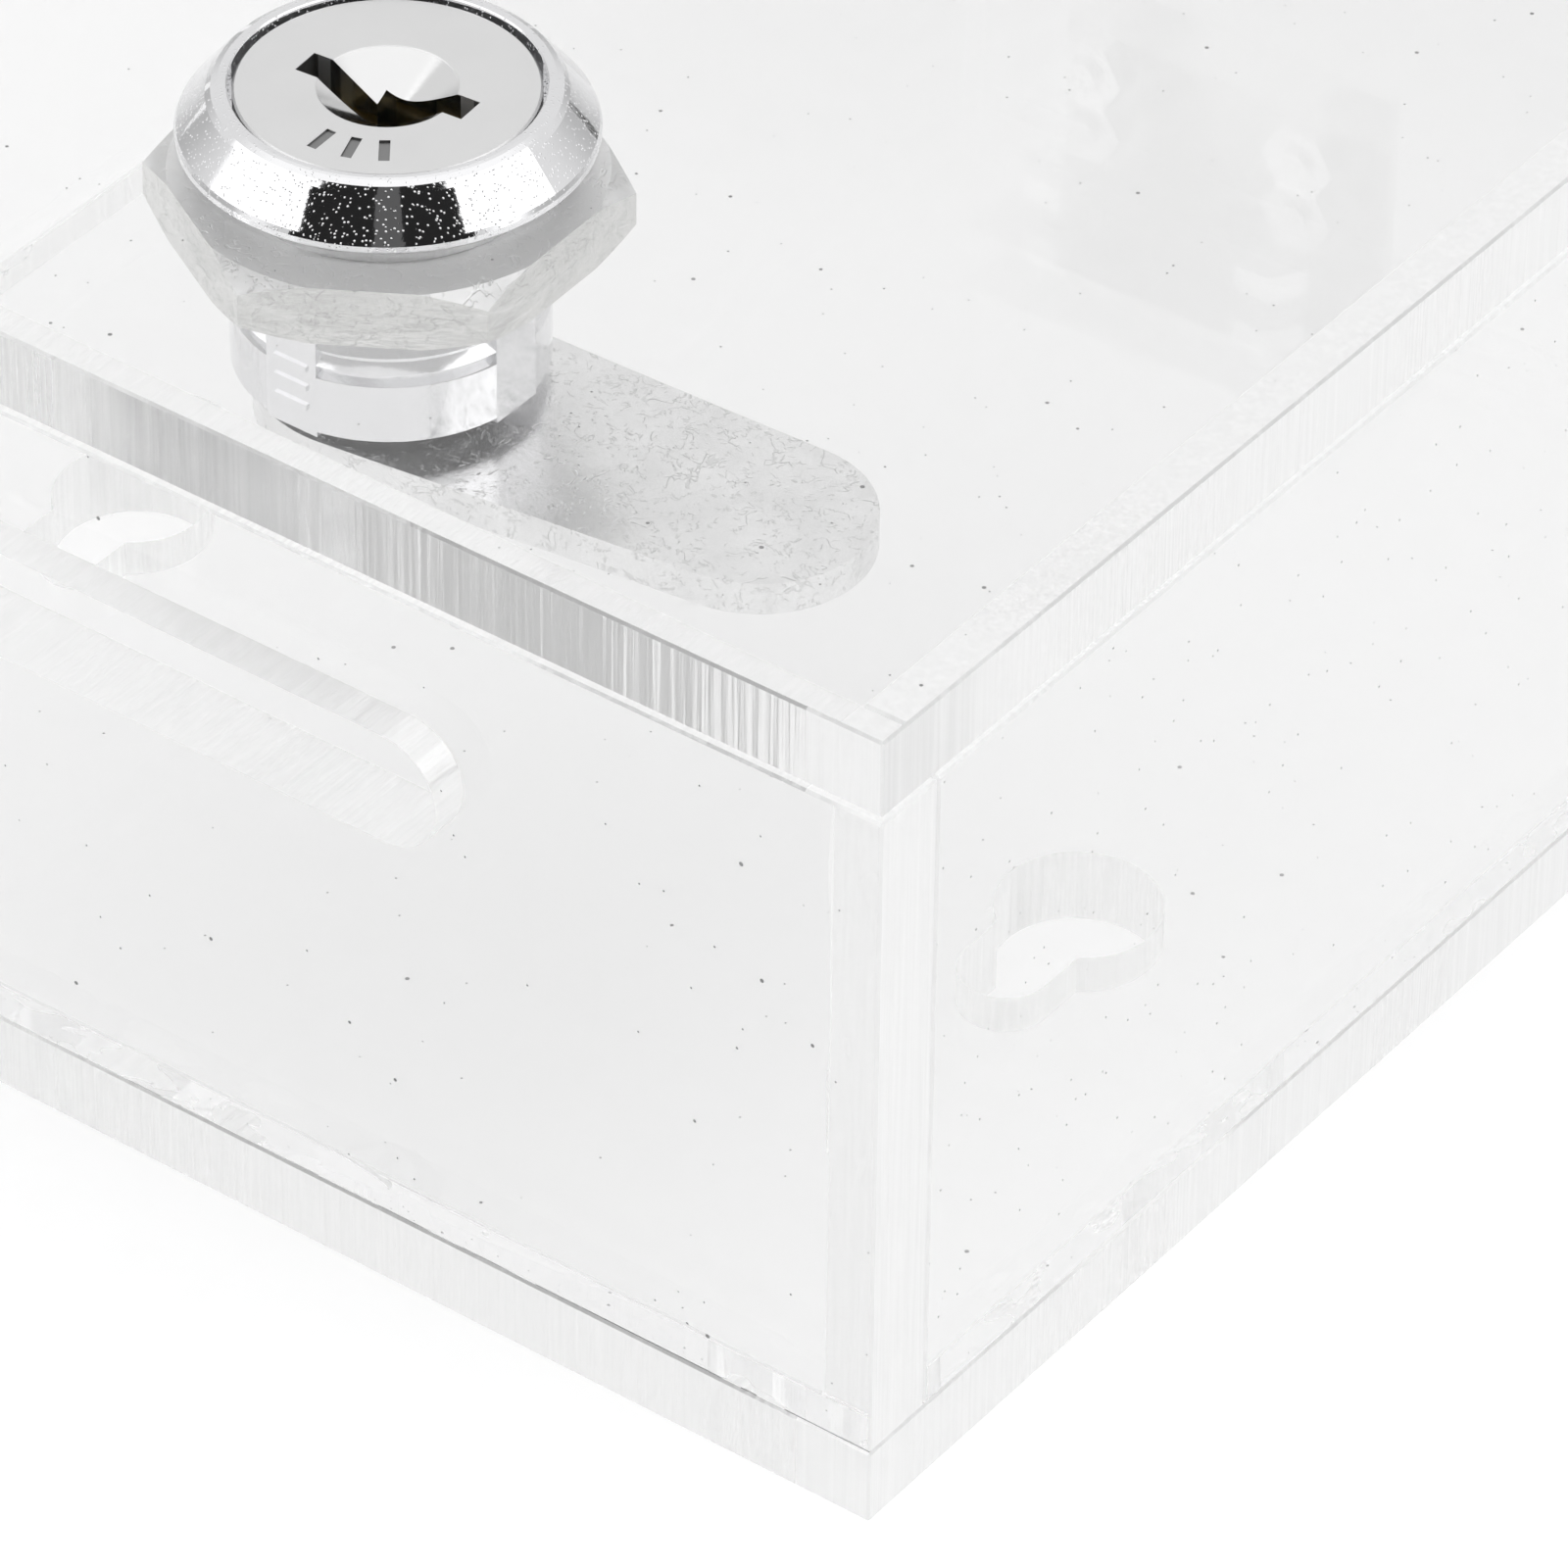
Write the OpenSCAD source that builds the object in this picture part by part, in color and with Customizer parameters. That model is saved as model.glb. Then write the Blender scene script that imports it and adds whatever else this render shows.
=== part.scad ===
// Clear acrylic donation box, lying on its back panel with the locking door on top.
// Frame: +Z out of the door, -Y out of the wall with the money slot, +X along that wall.
// The origin is the middle of the back panel's outer face. Millimetres.

/* [Box] */
// Width of the box along the slot wall
box_w = 105; // [90:1:200]
// Length of the box from the slot wall to the base wall
box_l = 155; // [120:1:260]
// Depth from the back panel's outer face to the door's outer face
box_d = 52; // [44:1:90]
// Thickness of the acrylic sheet
sheet_t = 4.8; // [4:0.1:6]
// Gap between the door and the walls under it
door_gap = 0.4; // [0.3:0.1:1]
// Width of the chamfer that takes the sharp edge off each sheet
edge_break = 0.15; // [0.1:0.05:0.5]

/* [Slot] */
// Length of the money slot, rounded ends included
slot_len = 48; // [46:1:70]
// Height of the money slot
slot_h = 7; // [6:0.5:10]
// Depth of the slot's middle below the door's outer face
slot_depth = 18.2; // [17.5:0.1:19]

/* [Keyholes] */
// Distance between the two keyholes
keyhole_pitch = 63; // [40:1:70]
// Distance from the slot wall's outer face to the middle of a keyhole's round hole
keyhole_inset = 44; // [30:1:60]
// Radius of the round hole, where a screw head goes in
keyhole_r = 4.75; // [4:0.05:6]
// Radius of the neck's end, which holds the screw's shank
neck_r = 2.7; // [2:0.05:3]
// Distance from the round hole's middle to the middle of the neck's end
neck_rise = 7; // [6:0.5:10]

/* [Lock] */
// Distance from the slot wall's outer face to the lock's middle
lock_inset = 26.7; // [26:0.1:30]
// Radius of the bezel where it sits on the door
bezel_r = 11.45; // [11:0.05:12.5]
// Height of the bezel above the door
bezel_h = 3.2; // [3:0.1:4]
// Radius of the threaded housing
housing_r = 8.75; // [8.5:0.05:9]
// Length of the housing below the door's outer face
housing_len = 17.05; // [16.5:0.05:17.5]
// Nut width across its flats
nut_af = 23.1; // [22:0.1:24]
// Nut thickness
nut_t = 3.6; // [3:0.1:5]
// Reach of the cam from the lock's middle to its tip
cam_reach = 30; // [28:0.1:31]
// Radius of the cam's round tip
cam_tip_r = 6.5; // [6:0.1:7]
// Thickness of the cam
cam_t = 2; // [1.5:0.1:2.5]

// Turn of the unlocked cam from the +X direction, in degrees
rest_turn = 4.8; // [0:0.1:6]

/* [Hinges] */
// Distance between the middles of the two hinges
hinge_pitch = 60; // [50:1:75]
// Length of one hinge
hinge_len = 26; // [24:1:30]
// Outer radius of the knuckles
knuckle_r = 2.2; // [2:0.1:3]
// Thickness of the leaves
leaf_t = 0.9; // [0.7:0.1:1]
// Width of a leaf on its panel
leaf_w = 13.5; // [13:0.5:16]
// Radius of the hinge pin
pin_r = 1.1; // [1:0.05:1.1]

/* [Hidden] */
$fn = 64;
cut = 1;             // how far a cut runs past the face it goes through
seat = 0.03;         // space between pieces that are clamped face to face
glue = 0.05;         // thickness of the cement between glued sheets

// Places of the box
front_y = -box_l / 2;
back_y = box_l / 2;
wall_z0 = sheet_t + glue;
wall_z1 = box_d - sheet_t - door_gap;
wall_h = wall_z1 - wall_z0;
side_len = box_l - 2 * sheet_t - 2 * glue;
door_back_gap = 0.4;

// Places of the lock: lock() puts z = 0 at the door's outer face, on the lock's axis
lock_y = front_y + lock_inset;
thread_pitch = 1.1;
thread_depth = 0.5;
smooth_len = 3.9;    // plain band at the housing's end
flat_w = 3.4;        // the four narrow flats along the housing
flat_d = 8.58;       // distance of each flat from the axis
head_r = 8.3;        // plug's round face
head_bore_r = 8.55;
head_h = 1.9;
face_z = bezel_h - 0.25;
head_z = face_z - head_h;
barrel_r = 6;
barrel_bore_r = 6.05;
tail_w = 6.5;        // square tail that carries the cam
cam_drop = 1.24;     // open space between the housing's end and the cam
cam_z = -housing_len - cam_drop;
tail_len = cam_drop + cam_t - 0.12;
cam_hub_r = 7.6;
screw_r = 1.95;
screw_len = 5.5;
washer_t = 0.8;
cam_screw_head_h = 2.2;

// Keyway: two arms a little out of line, so that a key goes in only one way up
key_half = 5;
key_arm_w = 1.85;
key_arm_shift = 0.45;
key_floor = -11.5;
dimple_r = 3.85;
dimple_depth = 1.9;
mark_ring_r = 6;
mark_size = [0.6, 1.9];
mark_depth = 0.12;

// Wafers and their springs
wafer_z = [for (i = [0 : 4]) -1.6 - 2 * i];
wafer_size = [11.4, 4.6, 0.6];
wafer_window = [8.4, 3];
wafer_play = 0.08;    // space round a wafer in its slot
wafer_end_r = barrel_r - 0.1;
spring_y = 3.3;
spring_r = 0.45;
spring_len = 2.6;

// Hinges
axis_y = back_y + knuckle_r;
axis_z = box_d + knuckle_r;
hinge_screw_from_edge = 9;
hinge_screw_spread = 17;
wall_screw_z = box_d - 13;
m_shank_r = 1.2;
m_hole_r = 1.4;
m_head_r = 2.3;
m_head_h = 1.4;
m_nut_af = 5;
m_nut_t = 2;
m_tail = 0.6;
m_len = leaf_t + 2 * seat + sheet_t + m_nut_t + m_tail;
knuckle_gap = 0.25;
third = hinge_len / 3;   // each knuckle takes a third of the hinge
knuckle_edges = [-hinge_len / 2, -third / 2, third / 2, hinge_len / 2];

acrylic = [0.93, 0.95, 0.96, 0.35];
chrome = [0.82, 0.83, 0.85];
satin = [0.7, 0.71, 0.72];
brass = [0.8, 0.68, 0.38];

// ---------- sheets ----------

module broken_rect(a, b) {
    c = edge_break;
    polygon([
        [a / 2 - c, -b / 2], [a / 2, -b / 2 + c], [a / 2, b / 2 - c], [a / 2 - c, b / 2],
        [c - a / 2, b / 2], [-a / 2, b / 2 - c], [-a / 2, c - b / 2], [c - a / 2, -b / 2]
    ]);
}

// A sheet with every edge chamfered, centred on the origin
module sheet(size) {
    intersection() {
        linear_extrude(size[2], center = true) broken_rect(size[0], size[1]);
        rotate([90, 0, 0]) linear_extrude(size[1], center = true) broken_rect(size[0], size[2]);
        rotate([90, 0, 90]) linear_extrude(size[0], center = true) broken_rect(size[1], size[2]);
    }
}

module keyhole() {
    translate([0, 0, -cut]) {
        cylinder(r = keyhole_r, h = sheet_t + 2 * cut);
        translate([-neck_r, -neck_rise, 0]) cube([2 * neck_r, neck_rise, sheet_t + 2 * cut]);
        translate([0, -neck_rise, 0]) cylinder(r = neck_r, h = sheet_t + 2 * cut);
    }
}

module back_panel() {
    color(acrylic) difference() {
        translate([0, 0, sheet_t / 2]) sheet([box_w, box_l, sheet_t]);
        for (side = [-1, 1])
            translate([side * keyhole_pitch / 2, front_y + keyhole_inset, 0]) keyhole();
    }
}

module end_wall() {
    translate([0, 0, wall_z0 + wall_h / 2]) sheet([box_w, sheet_t, wall_h]);
}

// The slot's outline runs along X with round ends
module slot_cutter() {
    straight = slot_len - slot_h;
    translate([0, sheet_t / 2 + cut, box_d - slot_depth]) rotate([90, 0, 0]) {
        translate([-straight / 2, -slot_h / 2, 0]) cube([straight, slot_h, sheet_t + 2 * cut]);
        for (side = [-1, 1])
            translate([side * straight / 2, 0, 0]) cylinder(d = slot_h, h = sheet_t + 2 * cut);
    }
}

module slot_wall() {
    color(acrylic) translate([0, front_y + sheet_t / 2, 0]) difference() {
        end_wall();
        slot_cutter();
    }
}

module side_wall(side) {
    color(acrylic) translate([side * (box_w - sheet_t) / 2, 0, wall_z0 + wall_h / 2])
        sheet([sheet_t, side_len, wall_h]);
}

// The two screw places of one hinge, either side of its middle
module screw_pair() {
    for (side = [-1, 1]) translate([side * hinge_screw_spread / 2, 0, 0]) children();
}

module at_hinges() {
    for (side = [-1, 1]) translate([side * hinge_pitch / 2, 0, 0]) children();
}

// Screw places: on the wall the screws point to -Y, on the door to -Z
module at_wall_screws() {
    at_hinges() screw_pair() translate([0, back_y, wall_screw_z]) rotate([-90, 0, 0]) children();
}

module at_door_screws() {
    at_hinges() screw_pair() translate([0, back_y - hinge_screw_from_edge, box_d]) children();
}

module screw_hole() {
    translate([0, 0, -sheet_t - cut]) cylinder(r = m_hole_r, h = sheet_t + 2 * cut);
}

module base_wall() {
    color(acrylic) difference() {
        translate([0, back_y - sheet_t / 2, 0]) end_wall();
        at_wall_screws() screw_hole();
    }
}

module door_panel() {
    door_l = box_l - door_back_gap;
    color(acrylic) difference() {
        translate([0, front_y + door_l / 2, box_d - sheet_t / 2]) sheet([box_w, door_l, sheet_t]);
        lock() translate([0, 0, -sheet_t - cut]) cylinder(r = housing_r + 0.15, h = sheet_t + 2 * cut);
        at_door_screws() screw_hole();
    }
}

// ---------- lock ----------

module lock() {
    translate([0, lock_y, box_d]) children();
}

// The pieces that the key turns, as they stand when unlocked
module turning() {
    lock() rotate(rest_turn) children();
}

// Half section of bezel and housing. The thread is a row of rings.
function thread_rings() = [
    for (z = [-housing_len + smooth_len : thread_pitch : -0.8])
        each [[housing_r - thread_depth, z + 0.25], [housing_r - thread_depth, z + 0.5], [housing_r, z + 0.8]]
];

module lock_housing() {
    color(chrome) lock() translate([0, 0, seat]) union() {
        difference() {
            union() {
                rotate_extrude($fn = 128) polygon(concat(
                    [
                        [barrel_bore_r, -housing_len],
                        [housing_r - 0.35, -housing_len],
                        [housing_r, -housing_len + 0.35],
                        [housing_r, -housing_len + smooth_len]
                    ],
                    thread_rings(),
                    [
                        [housing_r, 0],
                        [bezel_r - 0.15, 0],
                        [bezel_r, 0.15],
                        [bezel_r, 0.5],
                        [bezel_r - 0.12, 0.75],
                        [9.75, 2.7],
                        [9.45, 3.0],
                        [9.1, bezel_h - 0.03],
                        [8.9, bezel_h],
                        [head_bore_r + 0.08, bezel_h],
                        [head_bore_r, bezel_h - 0.08],
                        [head_bore_r, head_z - 0.05],
                        [barrel_bore_r, head_z - 0.05]
                    ]
                ));
                for (turn = [0 : 90 : 270]) rotate(turn)
                    translate([barrel_bore_r + 0.5, -flat_w / 2, -housing_len])
                        cube([flat_d - barrel_bore_r - 0.5, flat_w, housing_len]);
            }
            for (turn = [0 : 90 : 270]) rotate(turn)
                translate([flat_d, -flat_w / 2 - cut, -housing_len - cut])
                    cube([2, flat_w + 2 * cut, housing_len - 0.05 + cut]);
        }
        // three plain ribs on the flat that faces the slot wall
        for (i = [0 : 2]) translate([-1.1, -flat_d - 0.15, -13 - 1.25 * i]) cube([2.2, 0.3, 0.35]);
    }
}

module lock_nut() {
    corner_r = nut_af / 2 / cos(30);
    shoulder = 0.83;
    color(chrome) lock() translate([0, 0, -sheet_t - seat - nut_t]) difference() {
        intersection() {
            rotate(31.4) cylinder(r = corner_r, h = nut_t, $fn = 6);
            rotate_extrude($fn = 128) polygon([
                [0, 0], [corner_r - 1.4, 0], [corner_r + 0.05, shoulder],
                [corner_r + 0.05, nut_t - shoulder], [corner_r - 1.4, nut_t], [0, nut_t]
            ]);
        }
        translate([0, 0, -cut]) cylinder(r = housing_r + 0.05, h = nut_t + 2 * cut);
    }
}

module keyway() {
    depth = face_z - key_floor + cut;
    for (side = [-1, 1])
        translate([side > 0 ? -1 : -key_half, side * key_arm_shift - key_arm_w / 2, key_floor])
            cube([key_half + 1, key_arm_w, depth]);
}

module wafer_slots() {
    for (z = wafer_z) translate([0, 0, z]) {
        cube([2 * barrel_r + 2, wafer_size[1] + 2 * wafer_play, wafer_size[2] + 2 * wafer_play], center = true);
        translate([0, spring_y, 0]) rotate([0, 90, 0])
            cylinder(r = spring_r + 0.1, h = spring_len + 0.2, center = true);
    }
}

module lock_plug() {
    tail_z = -housing_len - tail_len;
    color(satin) turning() difference() {
        union() {
            rotate_extrude($fn = 128) polygon([
                [0, -housing_len], [barrel_r, -housing_len], [barrel_r, head_z],
                [head_r, head_z], [head_r, face_z - 0.12], [head_r - 0.12, face_z], [0, face_z]
            ]);
            translate([-tail_w / 2, -tail_w / 2, tail_z]) cube([tail_w, tail_w, tail_len + cut]);
        }
        keyway();
        // dimple that guides the key's tip
        translate([0, 0, face_z - dimple_depth])
            cylinder(r1 = 1, r2 = dimple_r + 0.02, h = dimple_depth + 0.01, $fn = 96);
        wafer_slots();
        translate([0, 0, tail_z - cut]) cylinder(r = screw_r + 0.05, h = screw_len + cut);
        // three plain ticks on the face
        for (turn = [-92, -75, -58]) rotate(turn + 90)
            translate([-mark_size[0] / 2, -mark_ring_r - mark_size[1] / 2, face_z - mark_depth])
                cube([mark_size[0], mark_size[1], mark_depth + cut]);
    }
}

module wafer_tumblers() {
    color(brass) turning() for (z = wafer_z) translate([0, 0, z]) difference() {
        intersection() {
            cube(wafer_size, center = true);
            cylinder(r = wafer_end_r, h = wafer_size[2] + cut, center = true);
        }
        cube([wafer_window[0], wafer_window[1], wafer_size[2] + cut], center = true);
    }
}

// One spring as a ribbed rod: a ring for each coil
module wafer_spring() {
    coils = 6;
    step = spring_len / coils;
    rotate([0, 90, 0]) translate([0, 0, -spring_len / 2]) rotate_extrude($fn = 24) polygon(concat(
        [[0, 0]],
        [for (i = [0 : coils - 1]) each [
            [spring_r - 0.15, i * step], [spring_r, (i + 0.5) * step], [spring_r - 0.15, (i + 0.99) * step]
        ]],
        [[0, spring_len]]
    ));
}

module wafer_springs() {
    color(satin) turning() for (z = wafer_z) translate([0, spring_y, z]) wafer_spring();
}

// The cam's outline: a round hub, a round tip, and the straight sides that touch both
module cam_outline() {
    tip_x = cam_reach - cam_tip_r;
    lean = asin((cam_hub_r - cam_tip_r) / tip_x);
    tip_turn = 90 - lean;
    hub_arc = 360 - 2 * tip_turn;
    tip_steps = 32;
    hub_steps = 40;
    polygon(concat(
        [for (i = [0 : tip_steps]) let (a = -tip_turn + 2 * tip_turn * i / tip_steps)
            [tip_x + cam_tip_r * cos(a), cam_tip_r * sin(a)]],
        [for (i = [0 : hub_steps]) let (a = tip_turn + hub_arc * i / hub_steps)
            [cam_hub_r * cos(a), cam_hub_r * sin(a)]]
    ));
}

module lock_cam() {
    hole_w = tail_w + 0.1;
    color(satin) turning() translate([0, 0, cam_z - cam_t]) difference() {
        linear_extrude(cam_t) cam_outline();
        translate([-hole_w / 2, -hole_w / 2, -cut]) cube([hole_w, hole_w, cam_t + 2 * cut]);
    }
}

module cam_washer() {
    color(chrome) turning() translate([0, 0, cam_z - cam_t - seat - washer_t]) difference() {
        cylinder(r = 5.4, h = washer_t);
        translate([0, 0, -cut]) cylinder(r = 2.2, h = washer_t + 2 * cut);
    }
}

module cam_screw() {
    head_top = cam_z - cam_t - washer_t - 2 * seat;
    h = cam_screw_head_h;
    shank_len = head_top + housing_len + tail_len - screw_len + 0.2;
    color(chrome) turning() translate([0, 0, head_top]) difference() {
        rotate_extrude() polygon([
            [0, -h], [2.2, -h], [3.2, -h + 0.5], [3.7, -h + 1.3],
            [3.7, 0], [screw_r, 0], [screw_r, -shank_len], [0, -shank_len]
        ]);
        for (turn = [0, 90]) rotate(turn)
            translate([-1.9, -0.4, -h - cut]) cube([3.8, 0.8, cut + 1.3]);
    }
}

// ---------- hinges ----------

// A knuckle or a hole along X, from x0 to x1, on the hinge's axis
module along_axis(x0, x1, r) {
    translate([x0, axis_y, axis_z]) rotate([0, 90, 0]) cylinder(r = r, h = x1 - x0, $fn = 48);
}

// Box leaf: on the base wall's outer face, with the two outer knuckles
module hinge_box_leaf() {
    inner_y = back_y + seat;
    color(chrome) difference() {
        union() {
            translate([-hinge_len / 2, inner_y, box_d - leaf_w - 4])
                cube([hinge_len, leaf_t, leaf_w + 4 - knuckle_gap - 0.1]);
            for (side = [-1, 1]) {
                x0 = side < 0 ? knuckle_edges[0] : knuckle_edges[2] + knuckle_gap;
                x1 = side < 0 ? knuckle_edges[1] - knuckle_gap : knuckle_edges[3];
                along_axis(x0, x1, knuckle_r);
                translate([x0, inner_y, box_d - 2]) cube([x1 - x0, leaf_t, knuckle_r + 2]);
            }
        }
        along_axis(-hinge_len, hinge_len, pin_r + 0.03);
        screw_pair() translate([0, back_y, wall_screw_z]) rotate([-90, 0, 0])
            translate([0, 0, -cut]) cylinder(r = m_hole_r, h = leaf_t + 2 * cut);
    }
}

// Door leaf: on the door's outer face, with the middle knuckle
module hinge_door_leaf() {
    low_z = box_d + seat;
    color(chrome) difference() {
        union() {
            translate([-hinge_len / 2, back_y - leaf_w, low_z])
                cube([hinge_len, leaf_w - knuckle_gap - 0.1, leaf_t]);
            along_axis(knuckle_edges[1], knuckle_edges[2], knuckle_r);
            translate([knuckle_edges[1], back_y - 2, low_z])
                cube([third, knuckle_r + 2, leaf_t]);
        }
        along_axis(-hinge_len, hinge_len, pin_r + 0.06);
        screw_pair() translate([0, back_y - hinge_screw_from_edge, box_d - cut])
            cylinder(r = m_hole_r, h = leaf_t + 2 * cut);
    }
}

module hinge_pin() {
    head = 0.8;
    color(satin) {
        along_axis(-hinge_len / 2 - seat, hinge_len / 2 + seat, pin_r);
        along_axis(-hinge_len / 2 - seat - head, -hinge_len / 2 - seat, pin_r + 0.5);
        along_axis(hinge_len / 2 + seat, hinge_len / 2 + seat + head, pin_r + 0.5);
    }
}

// A screw that stands at the panel's outer face, head up, with its shank along -Z
module panel_screw() {
    head_z0 = leaf_t + 2 * seat;
    translate([0, 0, head_z0]) difference() {
        rotate_extrude($fn = 32) polygon([
            [0, m_head_h], [1.4, m_head_h], [2, m_head_h - 0.35], [m_head_r, m_head_h - 0.9],
            [m_head_r, 0], [m_shank_r, 0], [m_shank_r, -m_len], [0, -m_len]
        ]);
        for (turn = [0, 90]) rotate(turn)
            translate([-1.15, -0.25, m_head_h - 0.7]) cube([2.3, 0.5, 0.7 + cut]);
    }
}

module panel_nut() {
    translate([0, 0, -sheet_t - seat - m_nut_t]) difference() {
        cylinder(d = m_nut_af / cos(30), h = m_nut_t, $fn = 6);
        translate([0, 0, -cut]) cylinder(r = m_shank_r + 0.03, h = m_nut_t + 2 * cut);
    }
}

module box_leaf_screws() {
    color(chrome) at_wall_screws() panel_screw();
}

module box_leaf_nuts() {
    color(chrome) at_wall_screws() panel_nut();
}

module door_leaf_screws() {
    color(chrome) at_door_screws() panel_screw();
}

module door_leaf_nuts() {
    color(chrome) at_door_screws() panel_nut();
}

module on_side(side) {
    translate([side * hinge_pitch / 2, 0, 0]) children();
}

back_panel();
slot_wall();
side_wall(-1);  // left_wall
side_wall(1);  // right_wall
base_wall();
door_panel();
lock_housing();
lock_nut();
lock_plug();
wafer_tumblers();
wafer_springs();
lock_cam();
cam_washer();
cam_screw();
on_side(-1) hinge_box_leaf();  // left_hinge_box_leaf
on_side(-1) hinge_door_leaf();  // left_hinge_door_leaf
on_side(-1) hinge_pin();  // left_hinge_pin
on_side(1) hinge_box_leaf();  // right_hinge_box_leaf
on_side(1) hinge_door_leaf();  // right_hinge_door_leaf
on_side(1) hinge_pin();  // right_hinge_pin
box_leaf_screws();
box_leaf_nuts();
door_leaf_screws();
door_leaf_nuts();
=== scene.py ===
"""Looks for the clear acrylic donation box.

Row frame, in metres: +Z out of the door, -Y out of the slot wall."""
import math

import bpy
from mathutils import Matrix, Vector

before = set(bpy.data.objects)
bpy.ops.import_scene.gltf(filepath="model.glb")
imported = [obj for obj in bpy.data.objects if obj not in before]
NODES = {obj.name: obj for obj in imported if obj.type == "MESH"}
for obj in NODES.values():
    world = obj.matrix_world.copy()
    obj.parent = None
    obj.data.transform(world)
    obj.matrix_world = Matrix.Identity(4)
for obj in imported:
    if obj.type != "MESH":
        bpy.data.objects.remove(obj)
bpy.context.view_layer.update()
MM = 0.001

# ---- camera -------------------------------------------------------------------------------------
AZIMUTH, ELEVATION, ROLL = (math.radians(a) for a in (36.314, 38.218, 0.711))
CAMERA_AT = Vector((304.0, -428.0, 389.06)) * MM
LENS, SENSOR = 253.03, 36.0

forward = Vector((-math.sin(AZIMUTH) * math.cos(ELEVATION),
                  math.cos(AZIMUTH) * math.cos(ELEVATION), -math.sin(ELEVATION)))
level_right = forward.cross(Vector((0, 0, 1))).normalized()
level_up = level_right.cross(forward)
right = math.cos(ROLL) * level_right + math.sin(ROLL) * level_up
up = -math.sin(ROLL) * level_right + math.cos(ROLL) * level_up
camera_data = bpy.data.cameras.new("camera")
camera_data.lens, camera_data.sensor_width = LENS, SENSOR
camera_data.clip_start, camera_data.clip_end = 0.02, 50.0
camera = bpy.data.objects.new("camera", camera_data)
turn = Matrix((right, up, -forward)).transposed()
camera.matrix_world = Matrix.Translation(CAMERA_AT) @ turn.to_4x4()
bpy.context.scene.collection.objects.link(camera)
bpy.context.scene.camera = camera


# ---- node helpers -------------------------------------------------------------------------------
class Tree:
    """Short forms for building a node tree."""

    def __init__(self, owner):
        owner.use_nodes = True
        self.tree = owner.node_tree
        self.tree.nodes.clear()

    def put(self, socket, value):
        if isinstance(value, bpy.types.NodeSocket):
            self.tree.links.new(value, socket)
        elif value is not None:
            socket.default_value = value

    def node(self, kind, settings=None, **inputs):
        n = self.tree.nodes.new("ShaderNode" + kind)
        for key, value in (settings or {}).items():
            setattr(n, key, value)
        for key, value in inputs.items():
            self.put(n.inputs[key.replace("_", " ")], value)
        return n

    def math(self, op, *values, clamp=False):
        n = self.node("Math", {"operation": op, "use_clamp": clamp})
        for i, value in enumerate(values):
            self.put(n.inputs[i], value)
        return n.outputs[0]

    def both(self, a, b):
        return self.math("MULTIPLY", a, b)

    def either(self, a, b):
        return self.math("MAXIMUM", a, b)

    def ramp(self, value, low, high, out_low=0.0, out_high=1.0):
        n = self.node("MapRange", {"interpolation_type": "SMOOTHSTEP"})
        for name, v in (("Value", value), ("From Min", low), ("From Max", high),
                        ("To Min", out_low), ("To Max", out_high)):
            self.put(n.inputs[name], v)
        return n.outputs[0]

    def near(self, value, middle, half):
        """1 where value is within half of middle."""
        return self.math("COMPARE", value, middle, half)

    def axes(self, vector):
        n = self.node("SeparateXYZ", Vector=vector)
        return n.outputs[0], n.outputs[1], n.outputs[2]

    def spread(self, vector, scale):
        n = self.node("VectorMath", {"operation": "MULTIPLY"})
        self.put(n.inputs[0], vector)
        n.inputs[1].default_value = scale
        return n.outputs[0]

    def noise(self, vector, scale, detail=2.0, rough=0.5, distortion=0.0):
        n = self.node("TexNoise", Vector=vector, Scale=scale, Detail=detail, Roughness=rough,
                      Distortion=distortion)
        return n.outputs[0]

    def cells(self, vector, scale):
        return self.node("TexVoronoi", Vector=vector, Scale=scale)

    def blend(self, share, a, b):
        """a to b by share, as a plain number."""
        n = self.node("Mix", {"data_type": "FLOAT"})
        self.put(n.inputs[0], share)
        self.put(n.inputs[2], a)
        self.put(n.inputs[3], b)
        return n.outputs[0]

    def tint(self, share, a, b):
        n = self.node("Mix", {"data_type": "RGBA"})
        self.put(n.inputs[0], share)
        self.put(n.inputs[6], a)
        self.put(n.inputs[7], b)
        return n.outputs[2]

    def mix_shader(self, share, a, b):
        n = self.node("MixShader")
        self.put(n.inputs[0], share)
        self.put(n.inputs[1], a)
        self.put(n.inputs[2], b)
        return n.outputs[0]

    def bump(self, height, distance, strength=1.0, normal=None):
        n = self.node("Bump", Height=height, Distance=distance, Strength=strength)
        self.put(n.inputs["Normal"], normal)
        return n.outputs[0]

    def finish(self, surface):
        out = self.node("OutputMaterial")
        self.put(out.inputs["Surface"], surface)


def grey(v):
    return (v, v, v, 1.0)


# ---- clear acrylic ------------------------------------------------------------------------------
SHEET = 4.8 * MM
HALF_W, HALF_L, DEPTH = 52.5 * MM, 77.5 * MM, 52.0 * MM
GLUE_GAP = 0.05 * MM
ACRYLIC_IOR = 1.49
PANE_TINT, CUT_TINT = 0.955, 0.96
CEMENT_HAZE = 0.10


def specks(t, at, scale, size, rarity):
    """Small spots where random cell centres lie close to the surface; rarity is the share left out."""
    v = t.cells(at, scale)
    chosen = t.math("GREATER_THAN", t.axes(v.outputs["Color"])[0], rarity)
    return t.both(chosen, t.math("LESS_THAN", v.outputs["Distance"], size))


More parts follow.
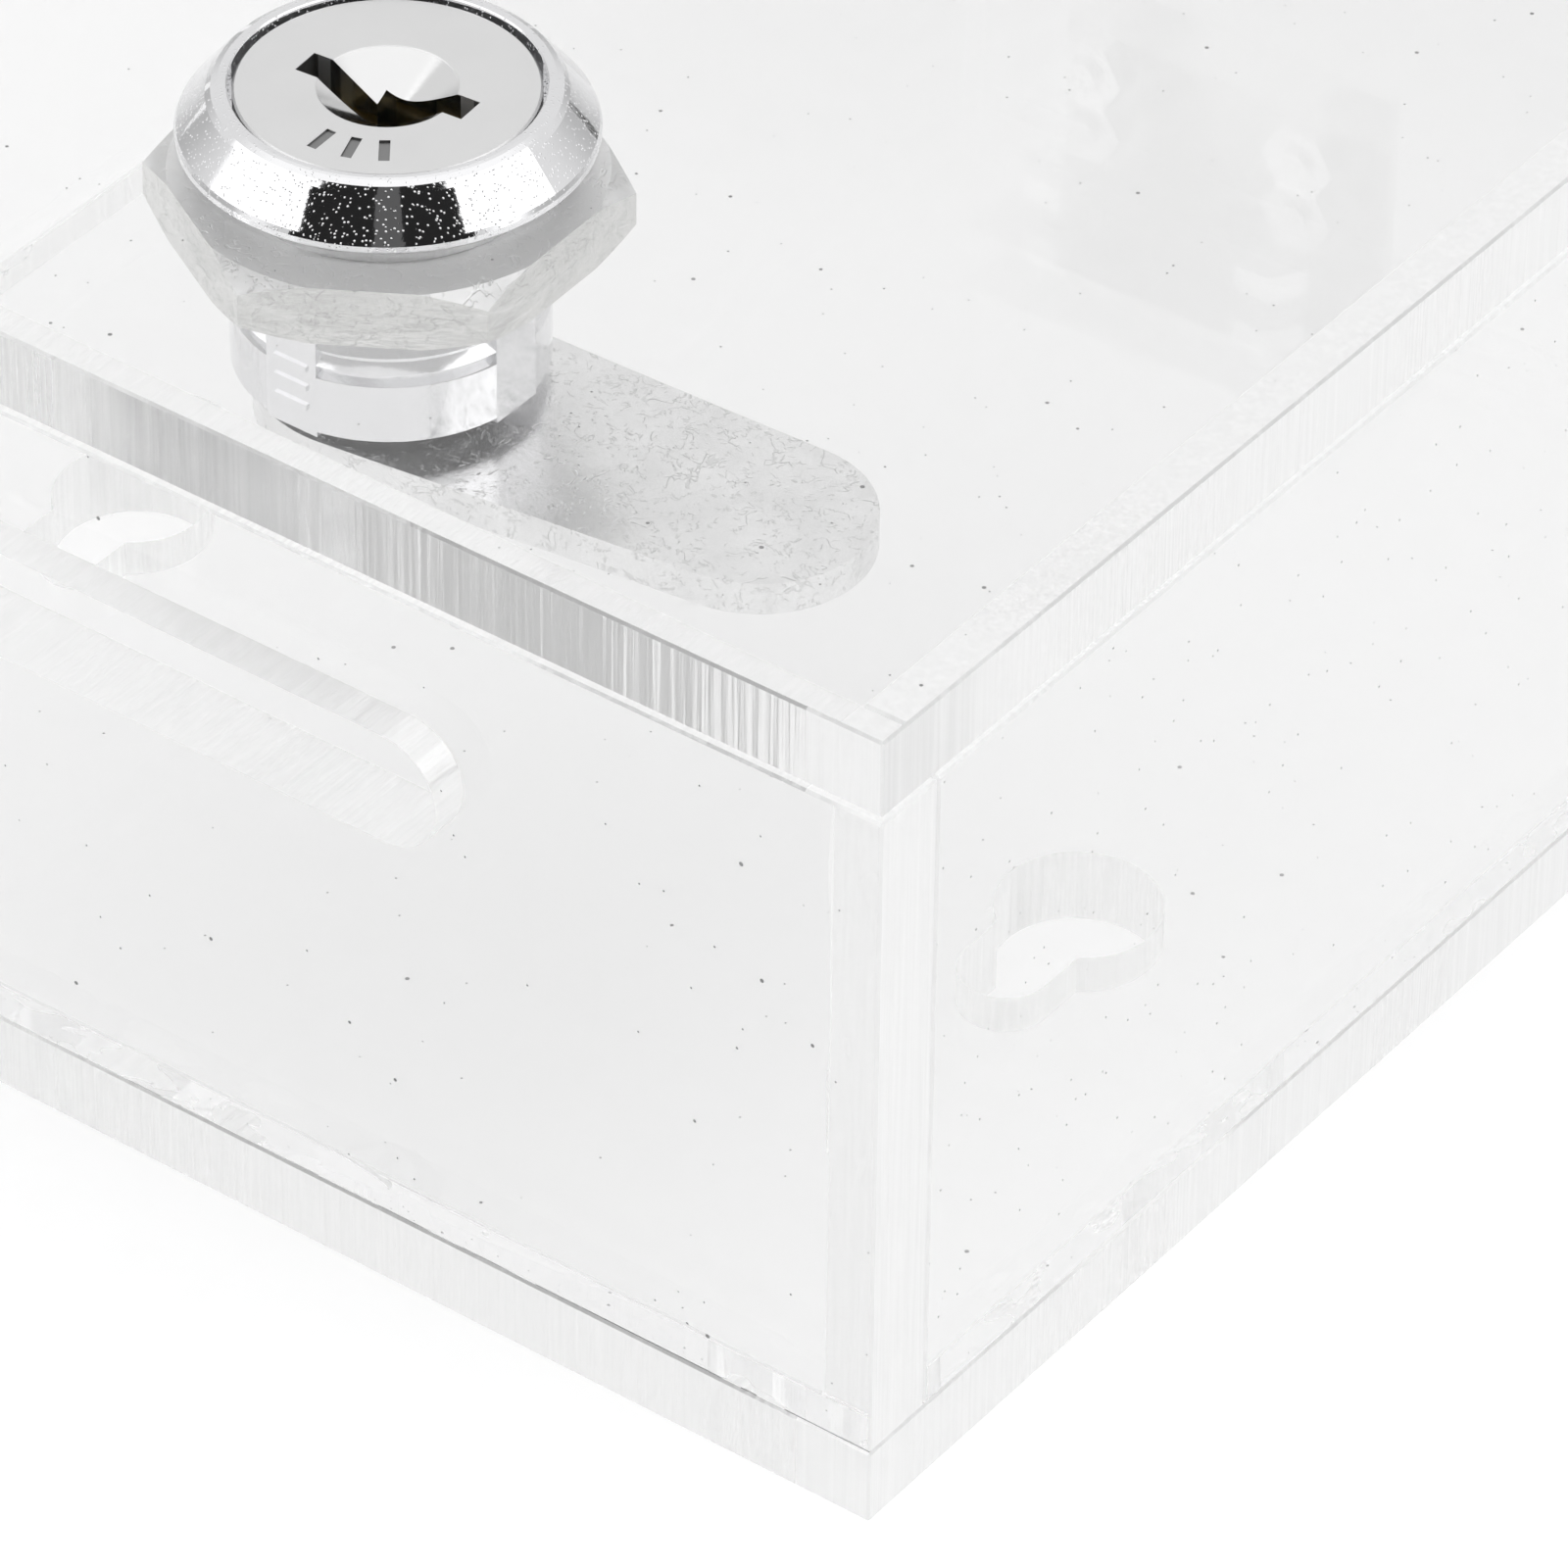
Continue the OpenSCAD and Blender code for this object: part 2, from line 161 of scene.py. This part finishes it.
def acrylic(name, thin):
    """Clear sheet. thin is the axis number of its thickness: across it the faces are polished, elsewhere
    they are sawn or milled. Where two sheets are glued, the faces are left out except at bubbles."""
    mat = bpy.data.materials.new(name)
    t = Tree(mat)
    coords = t.node("TexCoord")
    at, normal = coords.outputs["Object"], coords.outputs["Normal"]
    x, y, z = t.axes(at)
    out = [t.math("ABSOLUTE", part) for part in t.axes(normal)]

    def glass(tint, rough, bump):
        n = t.node("BsdfPrincipled", Roughness=rough, IOR=ACRYLIC_IOR, Normal=bump, Base_Color=tint)
        n.inputs["Transmission Weight"].default_value = 1.0
        return n.outputs[0]

    # polished faces: a slow waviness, faint hairlines and smears, specks of dust
    turned = t.node("VectorRotate", {"rotation_type": "EULER_XYZ"}, Vector=at,
                    Rotation=(0.5, 0.7, 0.9)).outputs[0]
    hair = t.ramp(t.noise(t.spread(turned, (1.0, 0.02, 1.0)), 900.0, 0.0), 0.78, 0.84)
    smear = t.ramp(t.noise(at, 70.0, 2.0, 0.6), 0.5, 0.75)
    polish = t.math("ADD", t.both(smear, 0.012), t.both(hair, 0.08))
    dust = t.either(specks(t, at, 330.0, 0.045, 0.78), specks(t, at, 900.0, 0.06, 0.88))
    dirt = t.node("BsdfDiffuse", Color=grey(0.25))
    wave = t.bump(t.noise(at, 22.0, 1.0, 0.4), 0.00012)
    polished = t.mix_shader(dust, glass(grey(PANE_TINT), polish, wave), dirt.outputs[0])

    # cut faces: saw marks run along Z, milled ones inside the slot and the screw holes run through the
    # sheet, and some stretches are rougher than others
    ax, ay = t.math("ABSOLUTE", x), t.math("ABSOLUTE", y)
    milled = t.math("LESS_THAN", ax, HALF_W - SHEET)
    across = [1.0, 1.0, 1.0]
    across[thin] = 0.02
    along = t.node("Mix", {"data_type": "VECTOR"})
    t.put(along.inputs[0], milled)
    along.inputs[4].default_value = (1.0, 1.0, 0.02)
    along.inputs[5].default_value = across
    stretched = t.node("VectorMath", {"operation": "MULTIPLY"})
    t.put(stretched.inputs[0], at)
    t.put(stretched.inputs[1], along.outputs[1])
    grain = stretched.outputs[0]
    fine = t.noise(grain, 2400.0, 2.0, 0.6)
    broad = t.noise(grain, 520.0, 2.0, 0.6)
    patchy = t.ramp(t.noise(grain, 45.0, 1.0, 0.5), 0.50, 0.64)
    streaks = t.ramp(t.math("ADD", t.both(fine, 0.4), t.both(broad, 0.6)), 0.40, 0.66)
    ripple = t.both(t.math("ADD", t.both(fine, 0.4), broad), t.blend(milled, 1.0, 3.0))
    marks = t.bump(ripple, 0.00005)
    frost = t.math("ADD", t.both(streaks, t.blend(patchy, 0.10, 0.36)), t.blend(patchy, 0.74, 0.40))
    chamfer = t.both(t.math("GREATER_THAN", out[thin], 0.5), t.math("LESS_THAN", out[thin], 0.9))
    frost = t.either(frost, t.both(chamfer, 0.72))
    frost = t.blend(milled, frost, t.both(frost, 0.6))
    haze = t.node("MixShader")
    for socket, kind in ((1, "BsdfDiffuse"), (2, "BsdfTranslucent")):
        t.put(haze.inputs[socket], t.node(kind, Color=grey(0.90), Normal=marks).outputs[0])
    sawn = t.mix_shader(frost, glass(grey(CUT_TINT), 0.22, marks), haze.outputs[0])
    cut = t.math("LESS_THAN", out[thin], 0.95)
    surface = t.mix_shader(cut, polished, sawn)

    # glued faces
    reach = GLUE_GAP * 0.7
    ragged = t.both(t.math("SUBTRACT", t.noise(at, 60.0, 2.0, 0.5), 0.5), 1.6 * MM)
    inset_x = t.math("GREATER_THAN", t.math("ADD", ax, ragged), HALF_W - SHEET + 0.15 * MM)
    inset_y = t.math("GREATER_THAN", t.math("ADD", ay, ragged), HALF_L - SHEET + 0.15 * MM)
    under = t.both(t.near(z, SHEET + GLUE_GAP / 2, reach), t.either(inset_x, inset_y))
    upright = t.both(t.near(ay, HALF_L - SHEET + GLUE_GAP / 2, reach),
                     t.both(inset_x, t.near(z, DEPTH / 2, DEPTH / 2 - SHEET - 0.1 * MM)))
    bubbles = t.ramp(t.noise(t.spread(at, (1.0, 1.0, 0.4)), 200.0, 2.0, 0.5, 0.5), 0.61, 0.62)
    glued = t.both(t.either(under, upright), t.math("SUBTRACT", 1.0, bubbles))
    clear = t.node("BsdfTransparent", Color=grey(1.0))
    cement = t.mix_shader(CEMENT_HAZE, clear.outputs[0],
                          t.node("BsdfTranslucent", Color=grey(0.95)).outputs[0])
    surface = t.mix_shader(glued, surface, cement)

    # lamps and soft light reach what is behind the sheet
    lamps = t.node("BsdfTransparent", Color=grey(0.985))
    path = t.node("LightPath")
    unseen = t.either(path.outputs["Is Shadow Ray"], path.outputs["Is Diffuse Ray"])
    t.finish(t.mix_shader(unseen, surface, lamps.outputs[0]))
    return mat


# ---- metals -------------------------------------------------------------------------------------
LOCK_X, LOCK_Y = 0.0, -50.8 * MM
DOOR_TOP = DEPTH
PLUG_FACE = DEPTH + 2.95 * MM


def scratches(t, at, scale):
    """Curled, broken lines where a bent noise crosses its middle."""
    bends = t.math("ABSOLUTE", t.math("SUBTRACT", t.noise(at, scale, 2.0, 0.6, 0.8), 0.5))
    broken = t.ramp(t.noise(at, scale * 1.2, 2.0, 0.6), 0.50, 0.58)
    return t.both(t.ramp(bends, 0.022, 0.006), broken)


def metal(name, colour, rough, grain=(1.0, 1.0, 1.0), grain_scale=900.0, depth=0.000004,
          mottle=0.05, curls=0.0, mirror_above=None, dull_flats_and_painted_light=False,
          painted_slope_shade=False, cone=False):
    """Plated metal: mottled tone, grain as bump, curled tumbling scratches.
    Above mirror_above, in the object's own Z, it is polished, with small dents in the plating.
    dull_flats_and_painted_light is the nut's look: flat faces rougher and painted lighter, as painted
    light against the bezel's shade; painted_slope_shade a stamped part's: slanted faces painted darker,
    as painted shade; cone the plug's."""
    mat = bpy.data.materials.new(name)
    t = Tree(mat)
    coords = t.node("TexCoord")
    at = coords.outputs["Object"]
    cloud = t.noise(t.spread(at, grain), 260.0, 4.0, 0.6)
    height = t.noise(t.spread(at, grain), grain_scale, 3.0, 0.6)
    shade = t.both(t.math("SUBTRACT", cloud, 0.5), 2.5)
    if curls:
        line = t.either(scratches(t, at, 520.0), scratches(t, at, 1200.0))
        height = t.math("SUBTRACT", height, t.both(line, curls * 3.0))
        shade = t.math("SUBTRACT", shade, t.both(line, curls * 4.0))
    tone = t.math("ADD", t.both(shade, 0.5), 0.5, clamp=True)
    colours = [tuple(min(1.0, c * (1 + sign * mottle)) for c in colour) + (1,) for sign in (-1, 1)]
    roughness = t.math("ADD", rough, t.both(cloud, rough * 0.5))
    strength = 1.0
    lean = t.math("ABSOLUTE", t.axes(coords.outputs["Normal"])[2])
    if dull_flats_and_painted_light:
        flat = t.math("GREATER_THAN", lean, 0.95)
        turned_part = t.both(t.math("GREATER_THAN", lean, 0.2), t.math("LESS_THAN", lean, 0.95))
        roughness = t.blend(flat, t.blend(turned_part, roughness, 0.30), 0.55)
    if cone:
        sunk = t.math("LESS_THAN", t.axes(at)[2], PLUG_FACE - 0.05 * MM)
        centred = t.node("VectorMath", {"operation": "SUBTRACT"})
        t.put(centred.inputs[0], at)
        centred.inputs[1].default_value = (LOCK_X, LOCK_Y, 0.0)
        flat_at = t.spread(centred.outputs[0], (1.0, 1.0, 0.0))
        radius = t.node("VectorMath", {"operation": "LENGTH"}, Vector=flat_at).outputs["Value"]
        roughness = t.blend(t.both(sunk, t.math("LESS_THAN", radius, 4.0 * MM)), roughness, 0.10)
        marks = t.both(sunk, t.near(radius, 6.1 * MM, 1.3 * MM))
    if mirror_above is not None:
        polished = t.math("GREATER_THAN", t.axes(at)[2], mirror_above)
        roughness = t.blend(polished, roughness, MIRROR_ROUGH)
        strength = t.blend(polished, 1.0, 0.5)
        cell = t.cells(at, 5200.0)
        chosen = t.both(t.math("GREATER_THAN", t.axes(cell.outputs["Color"])[0], 0.5), polished)
        dents = t.both(t.ramp(cell.outputs["Distance"], 0.36, 0.0), chosen)
    base = t.tint(tone, *colours)
    # painted shade: slanted faces are coloured a darker grey
    if painted_slope_shade:
        painted_shade_slope = t.both(t.math("GREATER_THAN", lean, 0.3), t.math("LESS_THAN", lean, 0.95))
        base = t.tint(painted_shade_slope, base, grey(0.42))
    # painted light: flat faces get a lighter grey than the rest, making up for the shade the bezel casts
    # on them
    if dull_flats_and_painted_light:
        streaked = t.tint(t.ramp(cloud, 0.42, 0.60), grey(0.60), grey(0.82))
        base = t.tint(flat, t.tint(turned_part, base, streaked), grey(0.82))
    if cone:
        # sunk places 4.8 to 7.4 mm from the lock's axis are coloured dark grey
        base = t.tint(marks, base, grey(0.25))
    bump = t.bump(height, depth, strength)
    if mirror_above is not None:
        bump = t.bump(dents, 0.00003, 1.0, bump)
    shader = t.node("BsdfPrincipled", Base_Color=base, Metallic=1.0, Roughness=roughness, Normal=bump)
    t.finish(shader.outputs[0])
    return mat


MIRROR_ROUGH = 0.05
MATERIALS = {
    "chrome": metal("bright_chrome", (0.80, 0.80, 0.81), 0.08, grain_scale=1400.0, depth=0.000006,
                    mottle=0.04, mirror_above=DOOR_TOP),
    "nickel": metal("nickel_plate", (0.71, 0.71, 0.70), 0.18, grain=(0.35, 0.35, 1.0), grain_scale=700.0,
                    depth=0.00012, mottle=0.16, curls=0.1, dull_flats_and_painted_light=True),
    "satin": metal("satin_nickel", (0.74, 0.74, 0.74), 0.30, grain_scale=5000.0, depth=0.000003,
                   mottle=0.02, cone=True),
    "zinc": metal("zinc_plated_steel", (0.84, 0.84, 0.84), 0.18, grain_scale=1500.0, depth=0.000016,
                  mottle=0.10, curls=0.5, painted_slope_shade=True),
    "steel": metal("spring_steel", (0.60, 0.60, 0.61), 0.25, mottle=0.08),
    "brass": metal("brass", (0.80, 0.66, 0.36), 0.28, mottle=0.06, curls=0.2),
}
FINISH = {
    "back_panel": acrylic("acrylic_flat", 2), "door_panel": acrylic("acrylic_door", 2),
    "slot_wall": acrylic("acrylic_slot", 1), "base_wall": acrylic("acrylic_base", 1),
    "left_wall": acrylic("acrylic_left", 0), "right_wall": acrylic("acrylic_right", 0),
    "lock_housing": MATERIALS["chrome"], "lock_nut": MATERIALS["nickel"],
    "lock_plug": MATERIALS["satin"], "wafer_tumblers": MATERIALS["brass"],
    "wafer_springs": MATERIALS["steel"], "lock_cam": MATERIALS["zinc"],
    "cam_washer": MATERIALS["zinc"], "cam_screw": MATERIALS["zinc"],
    "box_leaf_screws": MATERIALS["zinc"], "box_leaf_nuts": MATERIALS["zinc"],
    "door_leaf_screws": MATERIALS["zinc"], "door_leaf_nuts": MATERIALS["zinc"],
    "left_hinge_pin": MATERIALS["steel"], "right_hinge_pin": MATERIALS["steel"],
}
for name, ob in NODES.items():
    finish = FINISH.get(name, MATERIALS["nickel"])
    for s in ob.material_slots:
        s.material = finish

# ---- stage and light ----------------------------------------------------------------------------
FLOOR_SIZE, FLOOR_DROP = 3.0, 0.0003
mesh = bpy.data.meshes.new("floor")
half = FLOOR_SIZE
mesh.from_pydata([(-half, -half, -FLOOR_DROP), (half, -half, -FLOOR_DROP),
                  (half, half, -FLOOR_DROP), (-half, half, -FLOOR_DROP)], [], [(0, 1, 2, 3)])
floor = bpy.data.objects.new("floor", mesh)
bpy.context.scene.collection.objects.link(floor)
floor_mat = bpy.data.materials.new("floor_paper")
t = Tree(floor_mat)
paper = t.noise(t.node("TexCoord").outputs["Object"], 300.0, 3.0)
t.finish(t.node("BsdfDiffuse", Color=t.tint(paper, grey(0.93), grey(0.95))).outputs[0])
mesh.materials.append(floor_mat)

world = bpy.data.worlds.new("studio")
bpy.context.scene.world = world
t = Tree(world)
way = t.node("TexCoord").outputs["Generated"]


def sky(side, height):
    """Direction at an angle round from the camera and a height above the floor, in degrees."""
    a, h = math.radians(side) + AZIMUTH, math.radians(height)
    return (math.sin(a) * math.cos(h), -math.cos(a) * math.cos(h), math.sin(h))


# direction, radius and edge in degrees, level: two softboxes beside the camera and one overhead
SKY_LEVEL, HORIZON_LEVEL, BACKDROP_LEVEL = 0.89, 0.55, 0.95
SKY_PATCHES = [(sky(71, 34), 26, 4, 1.75), (sky(-76, 34), 27, 4, 1.65), (sky(0, 90), 40, 8, 1.2)]


def patch(direction, radius, soft):
    """1 inside a round patch of sky, radius and soft edge in degrees."""
    aim = t.node("VectorMath", {"operation": "DOT_PRODUCT"})
    t.put(aim.inputs[0], way)
    aim.inputs[1].default_value = direction
    return t.ramp(aim.outputs["Value"], math.cos(math.radians(radius + soft)),
                  math.cos(math.radians(max(radius - soft, 0.1))))


rise = t.axes(way)[2]
level = t.ramp(rise, 0.0, 0.35, HORIZON_LEVEL, SKY_LEVEL)
for direction, radius, soft, strength in SKY_PATCHES:
    level = t.blend(patch(direction, radius, soft), level, strength)
seen = t.node("LightPath").outputs["Is Camera Ray"]
background = t.node("Background", Color=grey(1.0), Strength=t.blend(seen, level, BACKDROP_LEVEL))
t.put(t.node("OutputWorld").inputs["Surface"], background.outputs[0])


def card(name, left, right, low, high, away, tone):
    """An upright card behind the camera, from left to right in degrees, that only reflections see."""
    left, right = (away * math.tan(math.radians(side)) for side in (left, right))
    back, across = Vector(sky(0, 0)), Vector(sky(90, 0))
    corners = [back * away + across * x + Vector((0, 0, z))
               for x, z in ((left, low), (right, low), (right, high), (left, high))]
    mesh = bpy.data.meshes.new(name)
    mesh.from_pydata(corners, [], [(0, 1, 2, 3)])
    ob = bpy.data.objects.new(name, mesh)
    bpy.context.scene.collection.objects.link(ob)
    mat = bpy.data.materials.new(name)
    t = Tree(mat)
    t.finish(t.node("Emission", Color=grey(1.0), Strength=tone).outputs[0])
    mesh.materials.append(mat)
    ob.visible_camera = ob.visible_diffuse = ob.visible_transmission = ob.visible_shadow = False


# angles, heights and distances in degrees and metres, then the tone
card("dark_card", -48, 43, -0.05, 1.7, 1.0, 0.02)
card("camera_card", -8, 8, -0.05, 1.62, 0.95, 0.12)

scene = bpy.context.scene
scene.view_settings.view_transform = "Standard"
scene.view_settings.look = "None"
cycles = scene.cycles
cycles.max_bounces, cycles.transmission_bounces, cycles.transparent_max_bounces = 24, 24, 32
cycles.glossy_bounces, cycles.diffuse_bounces = 24, 2
cycles.adaptive_threshold = 0.08
cycles.caustics_reflective = cycles.caustics_refractive = False
cycles.use_denoising = True
